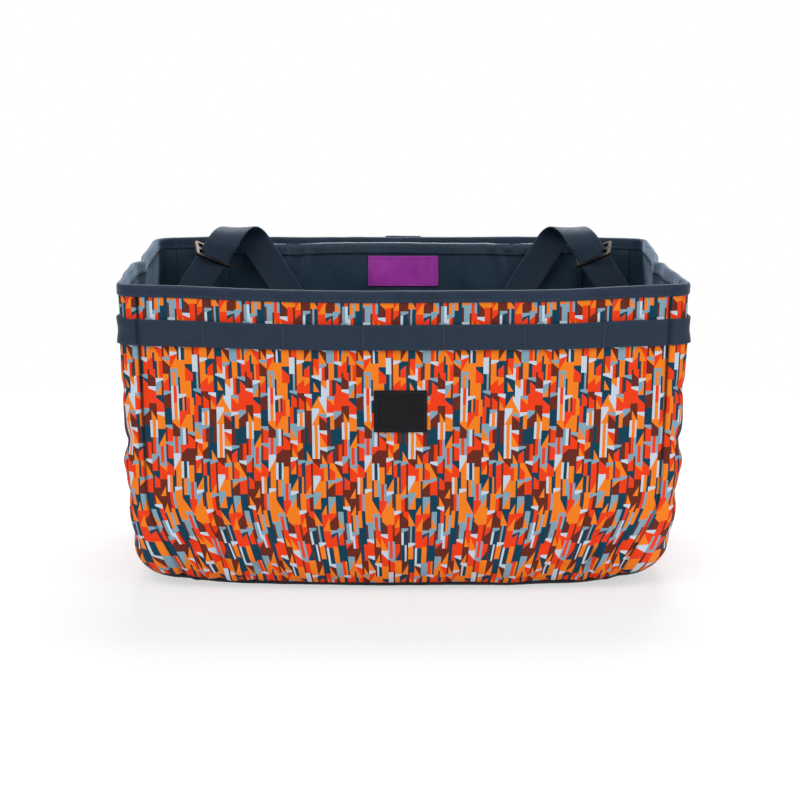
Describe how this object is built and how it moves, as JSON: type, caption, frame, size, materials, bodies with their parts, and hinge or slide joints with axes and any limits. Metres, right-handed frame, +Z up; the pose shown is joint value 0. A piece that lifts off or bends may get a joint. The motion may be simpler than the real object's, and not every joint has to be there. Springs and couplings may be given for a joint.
{
  "type": "handlebar basket",
  "caption": "Soft open-top basket in printed fabric with webbing band, shoulder strap, padded inner pocket and a lift-out rear frame that carries it on a bicycle.",
  "frame": {"origin": "bottom centre of the whole object's box, on the surface it stands on", "axes": "+Z up, +X to the right seen from the printed front, +Y towards the bicycle"},
  "size_m": [0.4346, 0.3438, 0.2535],
  "materials": {
    "print_fabric": "satin printed weave",
    "lining_fabric": "sateen",
    "binding_tape": "ribbed tape",
    "webbing": "woven webbing",
    "base_fabric": "coarse coated weave",
    "stiffener": "sheet",
    "foam": "foam",
    "patch_fabric": "matte woven patch",
    "label_satin": "satin ribbon",
    "adjuster_metal": "dark bronze",
    "frame_tube": "black anodised",
    "carrier_plate": "brushed",
    "block_plastic": "moulded",
    "fastener": "zinc plated"
  },
  "bodies": {
    "basket": {"front_panel": "print_fabric", "left_side_panel": "print_fabric", "right_side_panel": "print_fabric", "back_panel": "base_fabric", "base_panel": "base_fabric", "front_board": "stiffener", "back_board": "stiffener", "left_side_foam": "foam", "right_side_foam": "foam", "base_board": "stiffener", "front_lining": "lining_fabric", "back_lining": "lining_fabric", "left_side_lining": "lining_fabric", "right_side_lining": "lining_fabric", "base_lining": "lining_fabric", "rim_binding": "binding_tape", "rim_binding_join": "binding_tape", "webbing_band": "webbing", "front_patch": "patch_fabric", "inner_pocket": "lining_fabric", "pocket_hem": "binding_tape", "inner_label": "label_satin", "shoulder_strap": "webbing", "left_strap_anchor": "webbing", "right_strap_anchor": "webbing", "rear_sleeve": "base_fabric", "sleeve_tape": "binding_tape"},
    "carrier_frame": {"frame_tube_left": "frame_tube", "frame_tube_right": "frame_tube", "frame_tube_lower": "frame_tube", "frame_tube_upper": "frame_tube", "carrier_plate": "carrier_plate", "carrier_block": "block_plastic", "carrier_bolts": "fastener", "carrier_nuts": "fastener"},
    "left_adjuster": {"left_adjuster": "adjuster_metal"},
    "right_adjuster": {"right_adjuster": "adjuster_metal"}
  },
  "joints": [
    {"name": "frame_lift", "type": "slide", "parent": "basket", "child": "carrier_frame", "axis": [0, 0, 1], "range_m": [0, 0.19]},
    {"name": "left_adjuster_slide", "type": "slide", "parent": "basket", "child": "left_adjuster", "axis": [-0.5446, 0, -0.8387], "range_m": [0, 0.035]},
    {"name": "right_adjuster_slide", "type": "slide", "parent": "basket", "child": "right_adjuster", "axis": [0.5446, 0, -0.8387], "range_m": [0, 0.035]}
  ]
}
